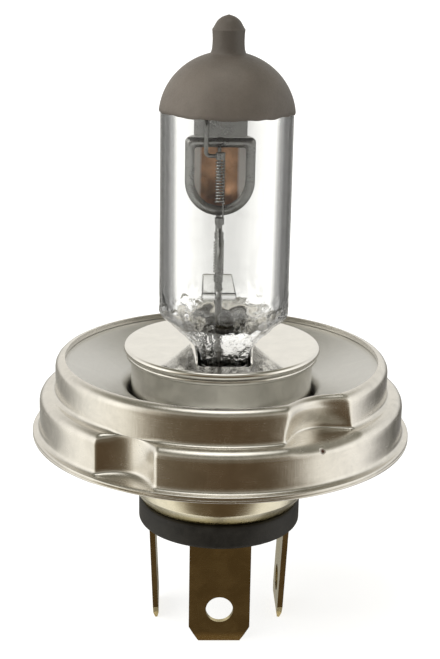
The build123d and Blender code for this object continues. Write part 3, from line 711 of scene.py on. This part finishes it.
def coating_mesh(s):
    """Thin skin of paint over the dome and tip, with a slightly wavy lower edge."""
    bm = turned(tip_points(s, s.coating, s.coating_edge), closed=False, steps=192, longest=0.0005)
    reach, height = 0.0025, 0.00028
    for vert in bm.verts:
        turn = front_turn(vert.co)
        near = 1 - blended(vert.co.z, s.coating_edge, s.coating_edge + reach)
        wave = noise.noise(Vector((2.2 * cos(turn), 2.2 * sin(turn), 4.0)))
        wave += 0.4 * noise.noise(Vector((7 * cos(turn), 7 * sin(turn), 1.0)))
        vert.co.z += near * height * wave
    bmesh.ops.translate(bm, verts=bm.verts, vec=(s.offset, 0, 0))
    return bm


def shell_mesh(s):
    """Base shell: lapped end, swage, straight wall and drawn-in mouth."""
    t, corner = s.sheet, s.shell - 0.0006
    shoulder = s.waist - 0.0021
    return turned([
        (s.shell - t, s.waist, 0), (s.shell - t, s.swage, 0.0003), (s.lap - t, s.lap_end, 0.0003),
        (s.lap - t, s.lap_top, 0), (s.lap, s.lap_top, 0.00015), (s.lap, s.lap_end, 0.0004),
        (s.shell, s.swage, 0.0004), (s.shell, s.waist, 0.002), (corner, shoulder, 0.0015),
        (s.mouth, s.mouth_z, 2 * CRISP), (s.mouth - t, s.mouth_z, CRISP),
        (corner - t, shoulder, 0.0015)], steps=256, segments=6, longest=0.0008)


def insulator_mesh(s):
    """Black disc with the narrower plug that closes the shell."""
    low, top = s.insulator_end, s.insulator_top
    return turned([(0, low, 0), (s.insulator, low, 0.0005), (s.insulator, top, 0.0004), (s.plug, top, 0),
                   (s.plug, s.plug_top, 0.0003), (0, s.plug_top, 0)], closed=False, steps=192)


def shield_mesh(s):
    """Half-turned cup with a flat rim round its open front."""
    radius, nose = s.radius, s.bottom + s.radius
    quarter = 16
    arc = [(radius * cos(t), nose - radius * sin(t), 0)
           for t in (i * pi / 2 / quarter for i in range(1, quarter))]
    bm = turned([(0, s.top, 0), (radius, s.top, 0.0005), (radius, nose, 0)] + arc + [(0, s.bottom, 0)],
                closed=False, steps=48, longest=0.0005, angle=pi)
    rim_edges = [edge for edge in bm.edges if edge.is_boundary]
    made = bmesh.ops.extrude_edge_only(bm, edges=rim_edges)["geom"]
    middle = (s.top + s.bottom) / 2
    half = (s.top - s.bottom) / 2
    for vert in (item for item in made if isinstance(item, bmesh.types.BMVert)):
        vert.co.x *= (radius - s.rim) / radius
        vert.co.z = middle + (vert.co.z - middle) * (half - s.rim) / half
    bmesh.ops.remove_doubles(bm, verts=bm.verts, dist=1e-6)
    bmesh.ops.recalc_face_normals(bm, faces=bm.faces)
    bmesh.ops.translate(bm, verts=bm.verts, vec=(s.x, s.front, 0))
    return bm


# Ring's punch mark: turn from the front, and millimetres inside the skirt and below the seat
MARK_TURN = radians(29.0)
MARK_INSET, MARK_DROP = 0.2, 0.75


# Operators
def refinish(name, material):
    """Give a CAD node its material."""
    node = frame["nodes"][name]
    for slot in node.material_slots:
        slot.material = material


class PieceOperator:
    """What the operators share."""
    bl_options = {"REGISTER", "UNDO"}


class BULB_OT_ring(PieceOperator, bpy.types.Operator):
    """Model the stepped reference ring with its two notches and hemmed lip"""
    bl_idname = "bulb.ring"
    bl_label = "Reference ring"

    def execute(self, context):
        scene = context.scene
        sizes = scene.bulb_ring
        finish = scene.bulb_finish
        reach = sizes.skirt * 1000 - MARK_INSET
        mark = (reach * sin(MARK_TURN), -reach * cos(MARK_TURN), -MARK_DROP)
        steel = ring_steel(finish.ring, mark, finish.mark)
        weighted(piece("ring", ring_mesh(sizes), steel, "ring_steel", "reference_ring"))
        return {"FINISHED"}


class BULB_OT_collar(PieceOperator, bpy.types.Operator):
    """Model the dish plate, the polished cap and the collar's sleeve"""
    bl_idname = "bulb.collar"
    bl_label = "Dish and collar"

    def execute(self, context):
        scene = context.scene
        sizes, finish = scene.bulb_collar, scene.bulb_finish
        dish = sheet_metal("dish_steel", finish.dish, roughness=0.36, spread=0.08, stain=0.1,
                           lines=6.0, line_depth=0.004)
        cap = sheet_metal("polished_cap", finish.cap, roughness=0.1, spread=0.06, stain=0.07,
                          lines=11.0, line_depth=0.001, grain=0.0004)
        sleeve = sheet_metal("sleeve_steel", finish.cap, roughness=0.2, spread=0.08, stain=0.2,
                             lines=7.0, line_depth=0.003)
        weighted(piece("dish", dish_mesh(sizes, scene.bulb_ring), dish, "dish_steel", "dish_plate"))
        weighted(piece("cap", cap_mesh(sizes), cap, "polished_cap", "collar_cap"))
        weighted(piece("sleeve", sleeve_mesh(sizes), sleeve, "sleeve_steel", "collar_sleeve"))
        return {"FINISHED"}


class BULB_OT_capsule(PieceOperator, bpy.types.Operator):
    """Model the quartz envelope and its opaque coating"""
    bl_idname = "bulb.capsule"
    bl_label = "Quartz capsule"

    def execute(self, context):
        scene = context.scene
        sizes = scene.bulb_capsule
        piece("envelope", envelope_mesh(sizes), (quartz("quartz", edges=True), quartz("quartz_bore")),
              "quartz", "quartz_envelope")
        coating = piece("coating", coating_mesh(sizes), opaque_coating(scene.bulb_finish.coating),
                        "opaque_coating", "tip_coating")
        wall = coating.modifiers.new("Thickness", "SOLIDIFY")
        wall.thickness, wall.offset = sizes.coating * 0.8, -1
        return {"FINISHED"}


class BULB_OT_mount(PieceOperator, bpy.types.Operator):
    """Model the dipping shield and finish the filaments, leads, clamps and bridge"""
    bl_idname = "bulb.mount"
    bl_label = "Filament mount"

    def execute(self, context):
        scene = context.scene
        sizes, finish = scene.bulb_mount, scene.bulb_finish
        plain = sheet_metal("molybdenum", finish.molybdenum, roughness=0.3, spread=0.1, stain=0.25,
                            lines=6.0, line_depth=0.004)
        inside = shield_inside(finish.tint, finish.shield_wall_highlight, sizes.x * 1000, sizes.radius * 1000)
        shield = piece("shield", shield_mesh(sizes), (plain, inside), "molybdenum", "dipping_shield")
        wall = shield.modifiers.new("Thickness", "SOLIDIFY")
        wall.thickness, wall.offset, wall.material_offset = sizes.sheet, -1, 1
        for name in ("shield_bracket", "main_lower_clamp", "main_upper_clamp", "dipped_lower_clamp",
                     "dipped_upper_clamp", "main_lead", "dipped_lead", "common_lead", "branch_wire",
                     "feed_wire", "dipped_foil", "main_foil", "common_foil"):
            refinish(name, plain)
        bright = [part * 1.25 for part in finish.molybdenum]
        wire = sheet_metal("tungsten", bright, roughness=0.26, spread=0.1, stain=0.2,
                           lines=12.0, line_depth=0.002)
        for name in ("main_filament", "dipped_filament"):
            refinish(name, wire)
        refinish("quartz_bridge", quartz("bridge_quartz"))
        return {"FINISHED"}


class BULB_OT_base(PieceOperator, bpy.types.Operator):
    """Model the base shell and insulator and finish the terminals and wiring"""
    bl_idname = "bulb.base"
    bl_label = "Base and terminals"

    def execute(self, context):
        scene = context.scene
        sizes, finish = scene.bulb_base, scene.bulb_finish
        low, tip = sizes.mouth_z * 1000, FLOOR_Z * 1000
        shell = sheet_metal("shell_brass", finish.shell, roughness=0.24, spread=0.1, stain=0.16,
                            lines=7.0, line_depth=0.004, edge_tint_and_glint=(low, low + 1.6, finish.shell_edge))
        weighted(piece("shell", shell_mesh(sizes), shell, "shell_brass", "base_shell"))
        resin = black_resin(finish.resin)
        piece("insulator_disc", insulator_mesh(sizes), resin, "black_resin", "insulator")
        # The blades' tips get brighter gold as a painted highlight.
        brass = sheet_metal("terminal_brass", finish.brass, roughness=0.28, spread=0.1, stain=0.18,
                            lines=5.0, line_depth=0.004, edge_tint_and_glint=(tip + 0.6, tip + 1.3, finish.blade_tip_highlight))
        solder = sheet_metal("solder", finish.solder, roughness=0.35, spread=0.15, stain=0.25,
                             lines=3.0, line_depth=0.02)
        lead = sheet_metal("lead_wire", finish.solder, roughness=0.3, spread=0.1, stain=0.2,
                           lines=8.0, line_depth=0.003)
        steel = sheet_metal("clip_steel", finish.dish, roughness=0.3, spread=0.1, stain=0.2,
                            lines=6.0, line_depth=0.004)
        fibre = woven_fibre(finish.fibre)
        for circuit in ("dipped", "main", "common"):
            refinish(circuit + "_terminal", brass)
            refinish(circuit + "_rivet", steel)
            refinish(circuit + "_solder_joint", solder)
            refinish(circuit + "_outer_lead", lead)
            refinish(circuit + "_lead_sleeve", fibre)
        refinish("pinch_clip", steel)
        refinish("clip_carrier", steel)
        return {"FINISHED"}


class BULB_OT_stage(PieceOperator, bpy.types.Operator):
    """Set up the floor, the soft light and the camera"""
    bl_idname = "bulb.stage"
    bl_label = "Stage"

    def execute(self, context):
        scene = context.scene
        stage = scene.bulb_stage
        make_floor(scene, stage)
        make_camera(scene, stage)
        make_world(scene)
        make_lights(scene, stage)
        scene.view_settings.view_transform = "Standard"
        return {"FINISHED"}


def make_floor(scene, stage):
    """A wide paper floor that stays out of the metal's reflections."""
    bm = bmesh.new()
    bmesh.ops.create_circle(bm, cap_ends=True, segments=64, radius=stage.floor)
    bmesh.ops.translate(bm, verts=bm.verts, vec=(0, 0, FLOOR_Z))
    mesh = bpy.data.meshes.new("floor")
    bm.to_mesh(mesh)
    bm.free()
    floor = bpy.data.objects.new("floor", mesh)
    scene.collection.objects.link(floor)
    nodes = new_material("floor_paper")
    place = nodes.millimetres()
    rgb = scene.bulb_finish.floor
    tone = nodes.mix(nodes.noise(place, 0.02, 2.0), opaque(rgb, 0.99), opaque(rgb, 1.0))
    mesh.materials.append(nodes.finish(Base_Color=tone, Roughness=0.9, Specular_IOR_Level=0.0,
                                       Emission_Color=(1, 1, 0.995, 1), Emission_Strength=stage.glow))
    floor.visible_glossy = False


def make_camera(scene, stage):
    """The main view, a little above the bulb and close to it."""
    camera = bpy.data.objects.new("camera", bpy.data.cameras.new("camera"))
    scene.collection.objects.link(camera)
    camera.data.lens, camera.data.sensor_width, camera.data.sensor_fit = stage.lens, 36.0, "AUTO"
    camera.data.clip_start, camera.data.clip_end = 0.005, 200.0
    turn = (Matrix.Rotation(stage.yaw, 4, "Z") @ Matrix.Rotation(pi / 2 - stage.pitch, 4, "X")
            @ Matrix.Rotation(stage.roll, 4, "Z"))
    camera.matrix_world = Matrix.Translation(stage.camera) @ turn
    scene.camera = camera


# Studio light by direction, as (degrees, linear colour). LOW_BAND is below the horizon and LEVEL_BAND
# above it, both by turn from the front towards +X; HIGH_BAND goes by height over the horizon.
LOW_BAND = ((-180, (0.55, 0.55, 0.52)), (-150, (0.30, 0.29, 0.26)), (-128, (0.42, 0.41, 0.38)),
            (-104, (1.15, 1.13, 1.06)), (-68, (1.10, 1.06, 0.95)), (-56, (0.50, 0.45, 0.36)),
            (-44, (0.16, 0.125, 0.08)), (0, (0.098, 0.064, 0.034)), (34, (0.11, 0.078, 0.045)),
            (46, (0.28, 0.24, 0.18)), (58, (1.05, 1.02, 0.94)), (98, (1.12, 1.10, 1.06)),
            (116, (0.40, 0.39, 0.37)), (134, (0.12, 0.115, 0.10)), (150, (0.20, 0.19, 0.18)),
            (180, (0.55, 0.55, 0.52)))
LEVEL_BAND = ((-180, (0.95, 0.93, 0.88)), (-130, (0.90, 0.88, 0.84)), (-70, (1.5, 1.47, 1.38)),
              (-50, (0.60, 0.55, 0.45)), (-36, (0.16, 0.13, 0.09)), (36, (0.16, 0.13, 0.09)),
              (50, (0.60, 0.56, 0.48)), (70, (1.3, 1.28, 1.22)), (130, (0.85, 0.84, 0.81)),
              (180, (0.95, 0.93, 0.88)))
HIGH_BAND = ((0, (0.86, 0.84, 0.80)), (30, (0.80, 0.78, 0.73)), (44, (0.36, 0.34, 0.28)),
             (58, (0.17, 0.165, 0.13)), (66, (0.20, 0.19, 0.15)), (78, (1.7, 1.68, 1.6)),
             (90, (2.2, 2.18, 2.1)))
# Heights over the horizon between which one band gives way to the next
LOW_TO_LEVEL = (radians(-6), radians(4))
LEVEL_TO_HIGH = (radians(26), radians(46))


def fill_ramp(ramp, stops, low, high):
    """Set a colour ramp's stops from (value, colour) pairs between two values."""
    elements = ramp.color_ramp.elements
    while len(elements) > 1:
        elements.remove(elements[0])
    for i, (value, rgb) in enumerate(stops):
        place = (value - low) / (high - low)
        element = elements[0] if i == 0 else elements.new(place)
        element.position, element.color = place, (*rgb, 1.0)


def make_world(scene):
    """Soft surroundings: dark towards the viewer, bright at the sides and straight overhead."""
    world = bpy.data.worlds.new("studio")
    world.use_nodes = True
    scene.world = world
    nodes = Nodes(world.node_tree)
    parts = nodes.add("SeparateXYZ", {0: nodes.add("TexCoord").outputs["Generated"]})
    x, y, z = parts.outputs
    turn = nodes.math("ARCTAN2", x, nodes.math("MULTIPLY", y, -1.0))
    low = nodes.add("ValToRGB", {0: nodes.ranged(turn, 0.0, 1.0, -pi, pi)})
    fill_ramp(low, LOW_BAND, -180, 180)
    rise = nodes.math("ARCSINE", z)
    high = nodes.add("ValToRGB", {0: nodes.ranged(rise, 0.0, 1.0, 0.0, pi / 2)})
    fill_ramp(high, HIGH_BAND, 0, 90)
    level = nodes.add("ValToRGB", {0: nodes.ranged(turn, 0.0, 1.0, -pi, pi)})
    fill_ramp(level, LEVEL_BAND, -180, 180)
    both = nodes.mix(nodes.ranged(rise, 0.0, 1.0, *LOW_TO_LEVEL), low.outputs[0], level.outputs[0])
    both = nodes.mix(nodes.ranged(rise, 0.0, 1.0, *LEVEL_TO_HIGH), both, high.outputs[0])
    nodes.put(nodes.tree.nodes["Background"], "Color", both)


def make_lights(scene, stage):
    """One very soft light from above and the left, kept out of reflections."""
    direction, spread = Vector((-0.62, -0.25, 0.74)), radians(80)
    sun = bpy.data.objects.new("overhead", bpy.data.lights.new("overhead", "SUN"))
    sun.data.energy, sun.data.angle = stage.sun, spread
    sun.matrix_world = direction.to_track_quat("Z", "Y").to_matrix().to_4x4()
    sun.visible_glossy = False
    scene.collection.objects.link(sun)


class BULB_PT_panel(bpy.types.Panel):
    """Lists the bulb's pieces and the stage in the sidebar"""
    bl_idname = "BULB_PT_panel"
    bl_label = "Headlight bulb"
    bl_space_type = "VIEW_3D"
    bl_region_type = "UI"
    bl_category = "Bulb"

    def draw(self, context):
        for operator in OPERATORS:
            self.layout.operator(operator.bl_idname)
        for name in GROUPS:
            box = self.layout.box()
            group = getattr(context.scene, name)
            for key in group.__annotations__:
                box.prop(group, key)


OPERATORS = (BULB_OT_stage, BULB_OT_ring, BULB_OT_collar, BULB_OT_capsule, BULB_OT_mount, BULB_OT_base)
CLASSES = tuple(GROUPS.values()) + OPERATORS + (BULB_PT_panel,)


def register():
    for each in CLASSES:
        bpy.utils.register_class(each)
    for name, group in GROUPS.items():
        setattr(bpy.types.Scene, name, PointerProperty(type=group))


def unregister():
    for name in GROUPS:
        delattr(bpy.types.Scene, name)
    for each in reversed(CLASSES):
        bpy.utils.unregister_class(each)


def main():
    register()
    bpy.ops.bulb.stage()
    bpy.ops.bulb.ring()
    bpy.ops.bulb.collar()
    bpy.ops.bulb.capsule()
    bpy.ops.bulb.mount()
    bpy.ops.bulb.base()


if __name__ == "__main__":
    main()
